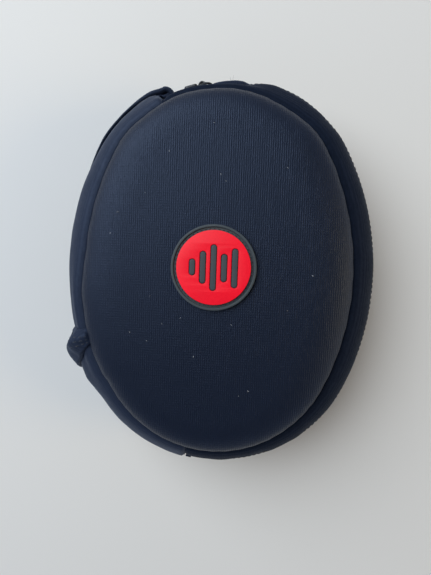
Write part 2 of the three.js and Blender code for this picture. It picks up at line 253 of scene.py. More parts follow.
def metal(name, color, roughness):
    """Painted gunmetal, rubbed brighter where noise wears it."""
    n = Nodes(name)
    place = n.place()
    wear = n.noise(place, 900, 4, 0.7)
    n.link(n.ramp(wear, [(0.35, color), (0.8, shade(color, 2.6))]), "Base Color")
    n.link(n.ramp(wear, [(0.3, (roughness + 0.12,) * 3), (0.8, (roughness,) * 3)]), "Roughness")
    n.link(n.bump(wear, 0.15, 0.02 * MM), "Normal")
    n.set(Metallic=0.85)
    LOOKS[name] = n.material


NAVY = (0.003, 0.005, 0.013)
GUSSET_BLUE = (0.0025, 0.0055, 0.015)
knit("panel_knit", NAVY, 0.95, "X", 0.38, sheen=0.02, rough=0.42, gloss=0.42)
knit("gusset_knit", GUSSET_BLUE, 0.9, "Z", 0.14, sheen=0.02, rough=0.7, gloss=0.2)
knit("spine_knit", shade(NAVY, 1.5), 0.7, "Z", 0.07, contrast=0.15, rough=0.6)
knit("strap_knit", shade(NAVY, 1.5), 0.8, "Z", 0.14, contrast=0.25, rough=0.7)
knit("tab_cloth", shade(NAVY, 1.5), 1.0, "X", 0.2, rough=0.8, sheen=0.2)
woven("binding_tape", (0.010, 0.012, 0.018), 0.8, 0.12)
woven("zip_cloth", (0.007, 0.008, 0.012), 0.7, 0.1)
knit("lining_cloth", (0.016, 0.018, 0.024), 0.6, "X", 0.06, sheen=0.6)
moulded("foam", (0.010, 0.010, 0.012), 0.9, 1800, 0.08, 0.2)
moulded("coil", (0.006, 0.006, 0.008), 0.48, 1500, 0.02, 0.4)
woven("thread", (0.030, 0.036, 0.054), 0.3, 0.05)
woven("wrap_thread", (0.022, 0.028, 0.042), 0.3, 0.05)
woven("badge_thread", (0.024, 0.030, 0.036), 0.3, 0.05)
moulded("grey_rubber", (0.034, 0.046, 0.056), 0.55, 1500, 0.03, 0.45)
moulded("red_rubber", (0.92, 0.005, 0.024), 0.40, 1500, 0.02, 0.28)
metal("gunmetal", (0.03, 0.032, 0.036), 0.32)
moulded("lint", (0.55, 0.58, 0.62), 0.95, 3000, 0.02, 0.1)

# ---- The outline ----


def mix(a, b, share):
    return a + (b - a) * share


def cosine(angle):
    return math.cos(math.radians(angle))


def sine(angle):
    return math.sin(math.radians(angle))


def outline_arcs():
    """The arcs as (end angle, radius, centre). The shoulder and foot follow from the width."""
    side_sag = SIDE_RADIUS * (1 - cosine(UPPER_SIDE_END))
    crown_reach = CROWN_RADIUS * cosine(CROWN_START)
    shoulder = (HALF_WIDTH - side_sag - crown_reach) / (cosine(UPPER_SIDE_END) - cosine(CROWN_START))
    foot = (HALF_WIDTH - SIDE_RADIUS * (1 - cosine(LOWER_SIDE_END))) / cosine(LOWER_SIDE_END)
    ends = [
        (UPPER_SIDE_END, SIDE_RADIUS),
        (CROWN_START, shoulder),
        (180 - CROWN_START, CROWN_RADIUS),
        (180 - UPPER_SIDE_END, shoulder),
        (180 + LOWER_SIDE_END, SIDE_RADIUS),
        (360 - LOWER_SIDE_END, foot),
        (360, SIDE_RADIUS),
    ]
    x, y, start = HALF_WIDTH, 0, 0
    arcs = []
    for end, radius in ends:
        cx = x - radius * cosine(start)
        cy = y - radius * sine(start)
        x = cx + radius * cosine(end)
        y = cy + radius * sine(end)
        start = end
        arcs.append((end, radius, cx, cy))
    return arcs


ARCS = outline_arcs()
CROWN_CENTRE = Vector((ARCS[2][2], ARCS[2][3], HALF_DEPTH)) * MM


def clear_point(angle, inset, height):
    """A point of a section, in metres: the outline's point with this normal, moved inwards."""
    turn = angle % 360
    _, radius, cx, cy = next(arc for arc in ARCS if turn <= arc[0])
    deep = max(inset - WALL_DEPTH, 0)
    reach = radius - inset + deep * END_TIGHTENING * sine(turn) ** 2
    x = cx + reach * cosine(turn)
    y = cy + reach * sine(turn)
    return Vector((x, y, HALF_DEPTH + height)) * MM


def smoothstep(value, start, end):
    """0 before start, 1 past end, and a smooth rise between them."""
    share = min(max((value - start) / (end - start), 0), 1)
    return share * share * (3 - 2 * share)


def window(value, rise, fall):
    """1 between two ramps, each (start, end), and 0 outside them."""
    return smoothstep(value, *rise) * (1 - smoothstep(value, *fall))


def settle(angle, height):
    """How far the soft case has sunk inwards here, in millimetres. The pull tab and the slider
    press the lid's wall in at the crown. The strap presses the upper end of the spine and pulls
    it out below the wrap. The lip stands out by the pull and by the wrap, and the shoulder
    beyond the tab is a little full."""
    turn = angle % 360
    wall = window(height, (4, 9), (15, 20.5))
    pressed = 3.3 * window(turn, (76, 88), (111, 119))
    middle = 1 - smoothstep(abs(height), 13, 20.5)
    drawn = 0.9 * window(turn, (120, 136), (146, 166))
    full = 1.2 * window(turn, (44, 64), (70, 80)) * window(abs(height), (4, 9), (15, 20.5))
    standing = 1.6 * window(turn, (60, 86), (106, 126)) + 2 * window(turn, (174, 187), (199, 212))
    lip = standing * smoothstep(height, 17, 20.5)
    pushed = 2.3 * window(turn, (194, 201), (204, 215))
    return wall * pressed + middle * (drawn - pushed) - full - lip


def outline_point(angle, inset, height):
    """A point of the sewn case as it lies, settled under the strap and the pull."""
    return clear_point(angle, inset + settle(angle, height), height)


def even_angles(start, end, spacing):
    """Angles whose outline points are evenly spaced, in millimetres."""
    lengths = [0]
    steps = max(int((end - start) * 4), 8)
    angles = [start + (end - start) * i / steps for i in range(steps + 1)]
    for a, b in zip(angles, angles[1:]):
        step = outline_point(b, 0, 0) - outline_point(a, 0, 0)
        lengths.append(lengths[-1] + step.length / MM)
    count = max(round(lengths[-1] / spacing), 1)
    result = []
    k = 0
    for i in range(count + 1):
        target = lengths[-1] * i / count
        while k < steps - 1 and lengths[k + 1] < target:
            k += 1
        share = (target - lengths[k]) / (lengths[k + 1] - lengths[k])
        result.append(mix(angles[k], angles[k + 1], share))
    return result


# ---- Lines and sections ----


def smooth(line, rounds=2):
    """Cuts a line's corners, and keeps its ends."""
    for _ in range(rounds):
        new = [line[0]]
        for (ax, ay), (bx, by) in zip(line, line[1:]):
            new.append((ax * 0.75 + bx * 0.25, ay * 0.75 + by * 0.25))
            new.append((ax * 0.25 + bx * 0.75, ay * 0.25 + by * 0.75))
        new.append(line[-1])
        line = new
    return line


def normals(line):
    """The outward direction of a line at each corner, as (towards outside, up)."""
    result = []
    for i in range(len(line)):
        before = line[max(i - 1, 0)]
        after = line[min(i + 1, len(line) - 1)]
        run = after[0] - before[0]
        rise = after[1] - before[1]
        length = math.hypot(run, rise)
        result.append((rise / length, run / length))
    return result


def inward(line, distance):
    """Moves a line towards the inside of the case."""
    return [
        (inset + distance * out, height - distance * up)
        for (inset, height), (out, up) in zip(line, normals(line))
    ]


def on_side(line, side):
    """The line itself, or its mirror in the other half."""
    return [(inset, side * height) for inset, height in line]


def rounded_box(inset_from, inset_to, low, high, radius, steps=3):
    """A rectangle with rounded corners, as a closed section."""
    corners = [
        (inset_to - radius, high - radius, 0),
        (inset_from + radius, high - radius, 90),
        (inset_from + radius, low + radius, 180),
        (inset_to - radius, low + radius, 270),
    ]
    return [
        (x + radius * cosine(start + 90 * i / steps), y + radius * sine(start + 90 * i / steps))
        for x, y, start in corners
        for i in range(steps + 1)
    ]


# ---- Meshes ----


def add_object(name, data):
    piece = bpy.data.objects.new(name, data)
    bpy.context.scene.collection.objects.link(piece)
    return piece


def clean(mesh):
    """Welds doubled points and turns every face outwards."""
    work = bmesh.new()
    work.from_mesh(mesh)
    bmesh.ops.remove_doubles(work, verts=work.verts, dist=1e-7)
    bmesh.ops.recalc_face_normals(work, faces=work.faces)
    work.to_mesh(mesh)
    work.free()


def mesh_object(name, points, faces, look):
    """A smooth-shaded piece from points in metres."""
    mesh = bpy.data.meshes.new(name)
    mesh.from_pydata(points, [], faces)
    clean(mesh)
    for polygon in mesh.polygons:
        polygon.use_smooth = True
    mesh.materials.append(LOOKS[look])
    return add_object(name, mesh)


def band_faces(rings, size, first=0):
    """Quads between neighbouring rings of points, each a closed loop of this size."""
    faces = []
    for ring in range(rings - 1):
        here = first + ring * size
        for k in range(size):
            after = (k + 1) % size
            faces.append((here + k, here + after, here + size + after, here + size + k))
    return faces


def loft(name, columns, look, ring=False):
    """Joins columns of points, each a closed section, into a tube with flat ends or a ring."""
    size = len(columns[0])
    points = [point for column in columns for point in column]
    faces = []
    spans = len(columns) if ring else len(columns) - 1
    for i in range(spans):
        here = i * size
        following = (i + 1) % len(columns) * size
        for k in range(size):
            after = (k + 1) % size
            faces.append((here + k, following + k, following + after, here + after))
    if not ring:
        faces.append(tuple(range(size)))
        faces.append(tuple(range(len(points) - size, len(points))))
    return mesh_object(name, points, faces, look)


def sweep(name, section_at, start, end, look, spacing=2.0, place=None):
    """Sweeps a closed section round the outline. section_at gives the section at an angle."""
    place = place or outline_point
    ring = end - start >= 360
    angles = even_angles(start, end, spacing)
    if ring:
        angles = angles[:-1]
    columns = [[place(angle, *corner) for corner in section_at(angle)] for angle in angles]
    return loft(name, columns, look, ring)


def dish(name, chain, look, spacing=2.0, ripple=None):
    """A dish from one chain of corners that starts and ends at its flat middle."""
    angles = even_angles(0, 360, spacing)[:-1]
    size = len(chain)
    points = []
    for angle in angles:
        for k, (inset, height) in enumerate(chain):
            lift = ripple(angle, inset, height) if ripple else 0
            edge = outline_point(angle, min(inset, DISH_REACH) - lift, height)
            middle = Vector((0, 0, edge.z))
            points.append(edge.lerp(middle, max(inset - DISH_REACH, 0) / DISH_REACH))
    middles = (len(points), len(points) + 1)
    points.append(Vector((0, 0, HALF_DEPTH + chain[0][1])) * MM)
    points.append(Vector((0, 0, HALF_DEPTH + chain[-1][1])) * MM)
    faces = []
    for i in range(len(angles)):
        here = i * size
        following = (i + 1) % len(angles) * size
        for k in range(size - 1):
            faces.append((here + k, following + k, following + k + 1, here + k + 1))
        faces.append((middles[0], following, here))
        faces.append((middles[1], here + size - 1, following + size - 1))
    return mesh_object(name, points, faces, look)


def joined(name, shapes, look):
    """One mesh from many small ones, each (points, faces)."""
    points = []
    faces = []
    for shape_points, shape_faces in shapes:
        base = len(points)
        points += shape_points
        faces += [tuple(base + i for i in face) for face in shape_faces]
    return mesh_object(name, points, faces, look)


def thread_dash(a, b, outward, width, height):
    """A short raised stitch from a to b: a six-sided rod with pointed ends, sunk half way in."""
    along = (b - a).normalized()
    across = along.cross(outward).normalized()
    points = [a - outward * height * 0.3]
    for share in (0.18, 0.5, 0.82):
        middle = a.lerp(b, share)
        grow = 1 if share == 0.5 else 0.85
        for k in range(6):
            turn = math.pi / 3 * k
            side = across * math.cos(turn) * width / 2 * grow
            rise = outward * (math.sin(turn) * height / 2 * grow)
            points.append(middle + side + rise)
    points.append(b - outward * height * 0.3)
    faces = [(0, 1 + (k + 1) % 6, 1 + k) for k in range(6)]
    faces += band_faces(3, 6, 1)
    faces += [(19, 13 + k, 13 + (k + 1) % 6) for k in range(6)]
    return points, faces


def stitch_row(name, spots, look, width=0.45, height=0.35, share=0.7):
    """Stitches between neighbouring spots, each (point, outward direction)."""
    shapes = []
    gap = (1 - share) / 2
    for (a, outward), (b, _) in zip(spots, spots[1:]):
        start = a.lerp(b, gap)
        end = a.lerp(b, 1 - gap)
        shapes.append(thread_dash(start, end, outward, width * MM, height * MM))
    return joined(name, shapes, look)


def outward_at(angle, tilt=0):
    """The outline's outward direction, tilted up by some degrees."""
    flat = Vector((cosine(angle), sine(angle), 0))
    return flat * cosine(tilt) + Vector((0, 0, 1)) * sine(tilt)


# ---- Camera, light and floor ----

CAMERA_PLACE = (0.0155, 0.0080, 0.2465)
CAMERA_TURN = (-3.9, 4.7, 2.0)
LENS = 26.4


def make_camera():
    data = bpy.data.cameras.new("camera")
    data.lens = LENS
    data.sensor_width = 36
    data.clip_start = 0.01
    camera = add_object("camera", data)
    camera.location = CAMERA_PLACE
    camera.rotation_euler = [math.radians(turn) for turn in CAMERA_TURN]
    bpy.context.scene.camera = camera


def add_area_light(name, place, size, power, color):
    data = bpy.data.lights.new(name, "AREA")
    data.shape = "DISK"
    data.size = size
    data.energy = power
    data.color = color
    light = add_object(name, data)
    light.location = place
    light.rotation_euler = (-Vector(place)).to_track_quat("-Z", "Y").to_euler()


def add_sky(tree):
    """A bright room round the case, and a dark ceiling over it."""
    direction = tree.nodes.new("ShaderNodeTexCoord")
    split = tree.nodes.new("ShaderNodeSeparateXYZ")
    ramp = tree.nodes.new("ShaderNodeValToRGB")
    elements = ramp.color_ramp.elements
    elements[0].color = (0.46, 0.54, 0.67, 1)
    elements[1].position = 0.8
    elements[1].color = (0.015, 0.016, 0.02, 1)
    middle = elements.new(0.4)
    middle.color = (0.40, 0.47, 0.59, 1)
    tree.links.new(direction.outputs["Generated"], split.inputs[0])
    tree.links.new(split.outputs["Z"], ramp.inputs[0])
    tree.links.new(ramp.outputs[0], tree.nodes["Background"].inputs["Color"])


def make_stage():
    scene = bpy.context.scene
    scene.view_settings.view_transform = "Standard"
    world = bpy.data.worlds.new("world")
    world.use_nodes = True
    add_sky(world.node_tree)
    scene.world = world
    add_area_light("window", (-0.6, 0.52, 0.95), 1.3, 17.5, (0.93, 0.98, 1.0))
    add_area_light("lamp", (1.6, -0.1, 0.75), 0.8, 9.5, (1.0, 0.72, 0.32))
    n = Nodes("floor")
    n.set(Base_Color=(0.70, 0.70, 0.70, 1), Roughness=0.8, Specular_IOR_Level=0.3)
    mesh = bpy.data.meshes.new("floor")
    reach = 3
    corners = [(-reach, -reach, 0), (reach, -reach, 0), (reach, reach, 0), (-reach, reach, 0)]
    mesh.from_pydata(corners, [], [(0, 1, 2, 3)])
    mesh.materials.append(n.material)
    floor = add_object("floor", mesh)


make_camera()
make_stage()

# ---- Panels, gussets and shells ----


def ripple_at(angle, height, seed, amount, scale=0.09):
    """A slow unevenness round the outline, in millimetres."""
    spot = Vector((cosine(angle) * 8, sine(angle) * 8, height * scale + seed))
    return noise.noise(spot) * amount


def make_panel(end, side, body):
    """The domed face of one half, with a lip that rolls over its seam."""
    outer = [(14.4, 20.2), (13.2, 20.8), (12.5, 21.8), (12.5, 23.2), (13.4, 25.0), (15.6, 27.0),
             (19.2, 28.6), (24, 29.6), (30, HALF_DEPTH), (35, HALF_DEPTH)]
    outer = smooth(outer, 2)
    middle = [(inset, HALF_DEPTH) for inset in (42, 50, 58, 65)]
    inner = [(65, 28.8), (48, 28.8), (35, 28.8)] + inward(outer, FABRIC)[::-4][1:]
    chain = on_side(middle[::-1] + outer[::-1] + inner[::-1], side)
    seam_pucker = 0.1

    def ripple(angle, inset, height):
        near_seam = max(0, 1 - abs(inset - 12.5) / 4)
        pull = math.sin(math.radians(angle) * 57 + 2 * sine(angle * 3)) * seam_pucker
        return near_seam * (pull + ripple_at(angle, height, 3 * side, 0.15))

    piece = dish(f"{end}_panel_cover", chain, "panel_knit", 1.6, ripple)
    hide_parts(f"{end}_panel")
    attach(piece, body)


def gusset_line():
    """From the zip up to the seam, with the hem at its first corners."""
    return smooth([(13.2, 19.9), (11.9, 20.75), (9.6, 20.6), (6.0, 18.9), (2.9, 15.9), (0.9, 12.0),
                   (0.25, 9.6), (0.25, 8.5), (0.75, 8.0)], 2)[::-1]


def make_gusset(end, side, body):
    """The wall between the panel's seam and the zip, turned under along the zip."""
    line = gusset_line()
    start = ZIP_START - COVER_OVERLAP
    end_angle = ZIP_END + COVER_OVERLAP
    reach = (end_angle - start) / 2

    def section(angle):
        tuck = 1.3 * smoothstep(abs(angle - (ZIP_START + ZIP_END) / 2), reach - 3.4, reach - 1.4)
        puff = ripple_at(angle, 0, 11 * side, 0.5)
        outer = []
        for inset, height in line:
            bulge = math.sin(math.pi * (height - 8) / 13) if height > 8 else 0
            outer.append((inset - bulge * puff + tuck, height))
        return on_side(outer + inward(line, FABRIC)[::-3], side)

    piece = sweep(f"{end}_gusset_cover", section, start, end_angle, "gusset_knit", 1.8)
    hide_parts(f"{end}_gusset")
    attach(piece, body)
    spots = [
        (outline_point(angle, 0.36, side * 10.2), outward_at(angle))
        for angle in even_angles(ZIP_START + 1, ZIP_END - 2, 2.6)
    ]
    row = stitch_row(f"{end}_gusset_stitches", spots, "thread", width=0.4, height=0.3)
    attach(row, body)


def make_shell(end, side, body):
    """The foam and the lining of one half. Both follow the outer line from inside."""
    line = GUSSET_LINE[:3] + [(11.9, 21.3), PANEL_LINE[2], PANEL_LINE[3], PANEL_LINE[5]]
    for name, look, slot, depth, thickness in [
        ("foam_shell", "foam", "eva_foam", FOAM_DEPTH, FOAM),
        ("lining", "lining_cloth", "lining_cloth", LINING_DEPTH, LINING),
    ]:
        outer = smooth(inward(line, depth), 2)
        inner = smooth(inward(line, depth + thickness), 2)
        chain = on_side(outer[::-1] + inner, side)
        piece = dish(f"{end}_{name}_moulding", chain, look, 2.5)
        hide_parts(f"{end}_{name}")
        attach(piece, body)


def make_binding(end, side, body):
    """The tape that binds the inner edge, folded over it and stitched."""
    section = on_side(rounded_box(2.8, 6.5, 5.9, 7.3, 0.6), side)
    piece = sweep(f"{end}_edge_binding", lambda angle: section, 0, 360, "binding_tape", 2.5)
    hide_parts(f"{end}_binding")
    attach(piece, body)
    down = Vector((0, 0, -side))
    spots = [(outline_point(angle, 5.4, side * 5.9), down) for angle in even_angles(0, 360, 3)]
    row = stitch_row(f"{end}_binding_stitches", spots, "thread")
    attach(row, body)


def make_zip_half(end, side, body):
    """A woven tape, and the coil's teeth sewn along its edge."""
    tape = on_side(rounded_box(1.2, 2.0, 2.4, 7.9, 0.25, 2), side)
    piece = sweep(f"{end}_tape", lambda angle: tape, ZIP_START, ZIP_END - 0.8, "zip_cloth", 2.0)
    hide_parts(f"{end}_zip_tape")
    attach(piece, body)

    angles = even_angles(ZIP_START + 2.6, SLIDER_ANGLE + 5, 0.95)
    first = 0 if side > 0 else 1
    turns = [coil_turn(angle, side) for angle in angles[first::2]]
    coil = joined(f"{end}_coil_teeth", turns, "coil")
    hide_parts(f"{end}_zip_coil")
    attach(coil, body)


def coil_turn(angle, side):
    """One turn of the coil: a rounded loop that reaches just past the zip's plane."""
    along = outward_at(angle + 90) * 0.5 * MM
    section = rounded_box(0.85, 2.75, -0.35, 3.1, 0.8, 2)
    edge = [outline_point(angle, inset, side * height) for inset, height in section]
    middle = outline_point(angle, 1.8, side * 1.4)
    size = len(edge)
    rings = [
        [point.lerp(middle, 0.14) - along for point in edge],
        edge,
        [point.lerp(middle, 0.14) + along for point in edge],
    ]
    points = [point for ring in rings for point in ring]
    faces = [tuple(range(size)), tuple(range(2 * size, 3 * size))]
    return points, faces + band_faces(3, size)


for end, side, body in HALVES:
    make_panel(end, side, body)
    make_gusset(end, side, body)
    make_shell(end, side, body)
    make_binding(end, side, body)
    make_zip_half(end, side, body)

# ---- Spine and strap ----


def spine_line():
    """The spine's outer line, tucked into both seams."""
    upper = [(-1.5, 2.5), (-1.4, 8), (0.1, 13), (3.0, 17.2), (7.0, 20.2), (10.6, 21.3), (12.3, 20.9),
             (13.2, 19.9)]
    return smooth(on_side(upper, -1)[::-1] + upper, 2)


def make_spine():
    """A padded strip that joins the two halves and closes round at both ends."""
    line = spine_line()
    back = inward(line, 1.9)[::-2]
    last = SPINE_END + COVER_OVERLAP

    def section(angle):
        near_end = min(angle - SPINE_START, last - angle) * 1.25
        closing = 1 - math.sqrt(max(0, 1 - max(0, 1 - near_end / 2.4) ** 2))
        depth = 2.2 if angle < 180 else 1.2
        puff = ripple_at(angle, 0, 31, 0.55)
        outer = []
        for inset, height in line:
            bulge = max(0, math.cos(height / 21 * math.pi / 2))
            crease = ripple_at(angle * 1.7, height, 57, 0.25, 0.3)
            moved = inset - bulge * (puff + crease) + closing * depth
            outer.append((moved, height * (1 - closing * 0.03)))
        return outer + back

    piece = sweep("spine_padding", section, SPINE_START, last, "spine_knit", 1.4)
    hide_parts("spine_panel")
    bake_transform(piece)

    tape = rounded_box(1.2, 2.0, -7.3, 7.3, 0.3, 2)
    dense = densified(tape, 1.2)
    lining = sweep("spine_inner_tape", lambda angle: dense, SPINE_START, SPINE_END, "lining_cloth")
    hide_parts("spine_lining")
    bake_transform(lining)


def densified(section, step):
    """Adds corners to a closed section's long sides, so that it can bend."""
    result = []
    for (ax, ay), (bx, by) in zip(section, section[1:] + section[:1]):
        parts = max(round(math.hypot(bx - ax, by - ay) / step), 1)
        result += [(mix(ax, bx, i / parts), mix(ay, by, i / parts)) for i in range(parts)]
    return result


def strap_profile(low, high, thickness):
    """Heights down the strap's width, each with half its thickness there. Its edges are round."""
    profile = []
    for k in range(STRAP_STEPS + 1):
        share = k / STRAP_STEPS
        round_off = math.sqrt(max(0.1, 1 - abs(2 * share - 1) ** 6))
        profile.append((share, mix(high, low, share), thickness / 2 * round_off))
    return profile


def strap_around(profile, inset_at):
    """The strap's closed section, with its middle at the inset for each share of its width."""
    outer = [(inset_at(share) - half, height) for share, height, half in profile]
    inner = [(inset_at(share) + half, height) for share, height, half in profile]
    return outer + inner[::-1]


def strap_stand(angle):
    """From the outline to the middle of the raised strap: it leaves the spine, then bends in."""
    return 2.2 + 1.1 * smoothstep(138 - angle, 0, 20) - 0.9 * smoothstep(118.5 - angle, 0, 5.3)


def strap_thickness(angle):
    """The strap is thicker towards its upper end, where it is turned back on itself."""
    return mix(1.6, 2.4, smoothstep(176 - angle, 0, 32)) + 1.2 * smoothstep(130 - angle, 0, 14)


def strap_section(angle):
    """The strap lies along the spine's lower half, and stands clear of it at its upper end."""
    raised = smoothstep(182 - angle, 0, 34)
    lift = smoothstep(176 - angle, 0, 32)
    profile = strap_profile(mix(-17, -8, raised), mix(-5, 8.6, raised), strap_thickness(angle))

    def inset_at(share):
        lying = -2.5 + 0.4 * share + 4 * share * share
        standing = 0.3 * math.cos(math.pi * 2 * share) - strap_stand(angle)
        return mix(lying, standing, lift)

    return [clear_point(angle, *corner) for corner in strap_around(profile, inset_at)]


def curl_section(swing):
    """The strap's section on its end curl, turned about an upright axis."""
    tangent = outward_at(STRAP_START - 90)
    radius = CURL_RADIUS * MM
    axis = clear_point(STRAP_START, CURL_RADIUS - strap_stand(STRAP_START), 0)
    normal = outward_at(STRAP_START) * cosine(swing) + tangent * sine(swing)
    spot = axis + normal * radius
    turned = swing / 100
    rise = Vector((0, 0, MM))
    profile = strap_profile(-8, 8.6, mix(strap_thickness(STRAP_START), 2.4, turned))
    squeeze = mix(1, 0.95, turned)
    outer = [spot + normal * half * MM + rise * height * squeeze for _, height, half in profile]
    inner = [spot - normal * half * MM + rise * height * squeeze for _, height, half in profile]
    return outer + inner[::-1]


def make_strap():
    """The carrying strap, from the wrap at its lower end to the curl round the spine's end."""
    columns = [strap_section(angle) for angle in even_angles(STRAP_START, STRAP_END, 1.5)[::-1]]
    columns += [curl_section(CURL_SWING * (i + 1) / CURL_STEPS) for i in range(CURL_STEPS)]
    piece = loft("carrying_strap", columns, "strap_knit")
    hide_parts("handle_strap")
    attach(piece, "base")

    def fold(angle):
        """The strap's turned-back end, inside the raised part."""
        filling = 2.4 * smoothstep(115 - angle, 0, 1.5)
        depth = (strap_thickness(angle) + filling) / 2 + 0.3 - strap_stand(angle)
        return strap_around(strap_profile(-7, 7.6, 1 + filling), lambda share: depth)

    back = sweep("strap_turned_end", fold, 111.4, 134, "strap_knit", 1.5, clear_point)
    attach(back, "base")


def wrap_point(across, run, line, directions, outer=True):
    """A point of the wrap's outer face or of its underside. across goes from its upper edge to
    its lower one, and run from the strap to the seam."""
    place = run * (len(line) - 1)
    k = min(int(place), len(line) - 2)
    inset, height = (mix(a, b, place - k) for a, b in zip(line[k], line[k + 1]))
    nx, ny = (mix(a, b, place - k) for a, b in zip(directions[k], directions[k + 1]))
    first = 193 + 0.6 * smoothstep(run, 0.5, 1)
    last = mix(203, 197.3, smoothstep(run, 0.4, 0.95))
    angle = mix(first, last, across)
    lift = 0.2
    if outer:
        hump = smoothstep(across, -0.05, 0.45) * (1 - 0.62 * smoothstep(across, 0.42, 0.95))
        edge = math.sqrt(max(0, 1 - abs(2 * across - 1) ** 10))
        far = window(run, (-0.3, 0.25), (0.5, 1.05))
        wrinkle = 0.3 * math.sin(across * 8 + run * 5) * edge
        lift = 0.25 + 0.6 * edge + (WRAP_HUMP * hump * edge + wrinkle) * far
    return outline_point(angle, inset - nx * lift, height + ny * lift), (nx, ny, angle)


def make_wrap():
    """The strap's lower end: it folds up over the spine and into the front panel's seam."""
    line = smooth(WRAP_LINE, 2)
    directions = normals(line)
    columns = []
    across_steps = 28
    run_steps = 44
    runs = [k / run_steps for k in range(run_steps + 1)]
    for i in range(across_steps + 1):
        across = i / across_steps
        outer = [wrap_point(across, run, line, directions)[0] for run in runs]
        inner = [wrap_point(across, run, line, directions, outer=False)[0] for run in runs]
        columns.append(outer + inner[::-1])
    piece = loft("strap_end_wrap", columns, "strap_knit")
    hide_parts("handle_end_wrap")
    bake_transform(piece)
    make_wrap_stitches(line, directions)


def make_wrap_stitches(line, directions):
    """Slanting rows of stitches that hold the wrap near the seam."""
    shapes = []
    count = 6
    for start, end in ((0.05, 0.5), (0.22, 0.68), (0.4, 0.86)):
        spots = []
        for i in range(count + 1):
            share = i / count
            place = mix(start, end, share)
            point, (nx, ny, angle) = wrap_point(place, mix(0.55, 0.93, share), line, directions)
            spots.append((point, outward_at(angle) * nx + Vector((0, 0, ny))))
        for (a, outward), (b, _) in zip(spots, spots[1:]):
            shapes.append(thread_dash(a.lerp(b, 0.1), a.lerp(b, 0.8), outward, 0.6 * MM, 0.5 * MM))
    row = joined("strap_wrap_stitches", shapes, "wrap_thread")
    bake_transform(row)


make_spine()
make_strap()
make_wrap()

# ---- Zip ends, slider and pull ----


def make_stops():
    """The crimped stops: one on each half past the slider, and one over both at the far end."""
    for end, side, body in HALVES:
        section = on_side(rounded_box(0.5, 3.1, 0.35, 3.2, 0.5), side)
        start = SLIDER_ANGLE + 5.4
        piece = sweep(f"{end}_crimped_stop", lambda angle: section, start, start + 1.2, "gunmetal", 0.5)
        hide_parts(f"{end}_top_stop")
        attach(piece, body)
    section = rounded_box(0.5, 3.1, -3, 3, 0.6)
    start = ZIP_START + 0.4
    piece = sweep("crimped_bottom_stop", lambda angle: section, start, start + 1.2, "gunmetal", 0.5)
    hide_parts("zip_bottom_stop")
    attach(piece, "base")


def make_end_tab():
    """A folded scrap of cloth over the zip's closed end."""
    section = densified(rounded_box(-2.2, 0.2, -6.6, 7.6, 0.7), 2)
    start = ZIP_START + 0.7
    piece = sweep("zip_end_fold", lambda angle: section, start, start + 2.2, "strap_knit", 0.6)
    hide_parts("zip_end_tab")
    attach(piece, "base")


def slider_matrix():
    """The slider's own frame: x along the zip, y out of the case, z up, origin on the outline."""
    turn = Matrix.Rotation(math.radians(SLIDER_ANGLE - 90), 4, "Z")
    place = CROWN_CENTRE + outward_at(SLIDER_ANGLE) * CROWN_RADIUS * MM
    return Matrix.Translation(place) @ turn


def ring_columns(radius, wire, centre, lean, around=40, section=10):
    """Sections of a round wire ring that stands across the zip, leaning about its pivot."""
    pivot = Vector((BAIL_OFFSET, PIVOT_HEIGHT, 0)) * MM
    tilt = Matrix.Rotation(math.radians(lean), 4, "Z")
    place = slider_matrix()
    columns = []
    for i in range(around):
        turn = 2 * math.pi * i / around
        column = []
        for k in range(section):
            swing = 2 * math.pi * k / section
            reach = radius + wire * math.cos(swing)
            spot = Vector((reach * math.cos(turn), wire * math.sin(swing), reach * math.sin(turn)))
            column.append(place @ (pivot + tilt @ ((centre + spot) * MM - pivot)))
        columns.append(column)
    return columns


def flat_shape(name, outlines, low, high, bevel, look):
    """A plate between two heights from closed outlines in millimetres, with bevelled edges.
    The outlines after the first are holes."""
    data = bpy.data.curves.new(name, "CURVE")
    data.dimensions = "2D"
    data.fill_mode = "BOTH"
    data.extrude = ((high - low) / 2 - bevel) * MM
    data.bevel_depth = bevel * MM
    data.bevel_resolution = 3
    data.offset = -bevel * MM
    for outline in outlines:
        spline = data.splines.new("POLY")
        spline.points.add(len(outline) - 1)
        for point, (x, y) in zip(spline.points, outline):
            point.co = (x * MM, y * MM, 0, 1)
        spline.use_cyclic_u = True
    curve = add_object(name, data)
    curve.location = (0, 0, (low + high) / 2 * MM)
    bpy.context.view_layer.update()
    mesh = bpy.data.meshes.new_from_object(curve.evaluated_get(bpy.context.evaluated_depsgraph_get()))
    mesh.transform(curve.matrix_world)
    bpy.data.objects.remove(curve)
    clean(mesh)
    mesh.materials.clear()
    mesh.materials.append(LOOKS[look])
    mesh.name = name
    piece = add_object(name, mesh)
    shade_by_angle(piece)
    return piece


def shade_by_angle(piece, limit=35):
    """Smooth shading, with creases where faces meet sharply."""
    mesh = piece.data
    for polygon in mesh.polygons:
        polygon.use_smooth = True
    work = bmesh.new()
    work.from_mesh(mesh)
    for edge in work.edges:
        if len(edge.link_faces) == 2 and edge.calc_face_angle(0) > math.radians(limit):
            edge.smooth = False
    work.to_mesh(mesh)
    work.free()


def badge_circle(radius, count=96):
    """A circle about the badge's centre."""
    x, y = BADGE_CENTRE
    return [
        (x + radius * cosine(360 * i / count), y + radius * sine(360 * i / count))
        for i in range(count)
    ]


def merge(name, pieces):
    """Joins objects into one, in the first one's place."""
    work = bmesh.new()
    for piece in pieces:
        copy = piece.data.copy()
        copy.transform(piece.matrix_world)
        work.from_mesh(copy)
        bpy.data.meshes.remove(copy)
    first = pieces[0]
    mesh = bpy.data.meshes.new(name)
    work.to_mesh(mesh)
    work.free()
    mesh.materials.append(first.data.materials[0])
    result = add_object(name, mesh)
    for piece in pieces:
        bpy.data.objects.remove(piece)
    return result


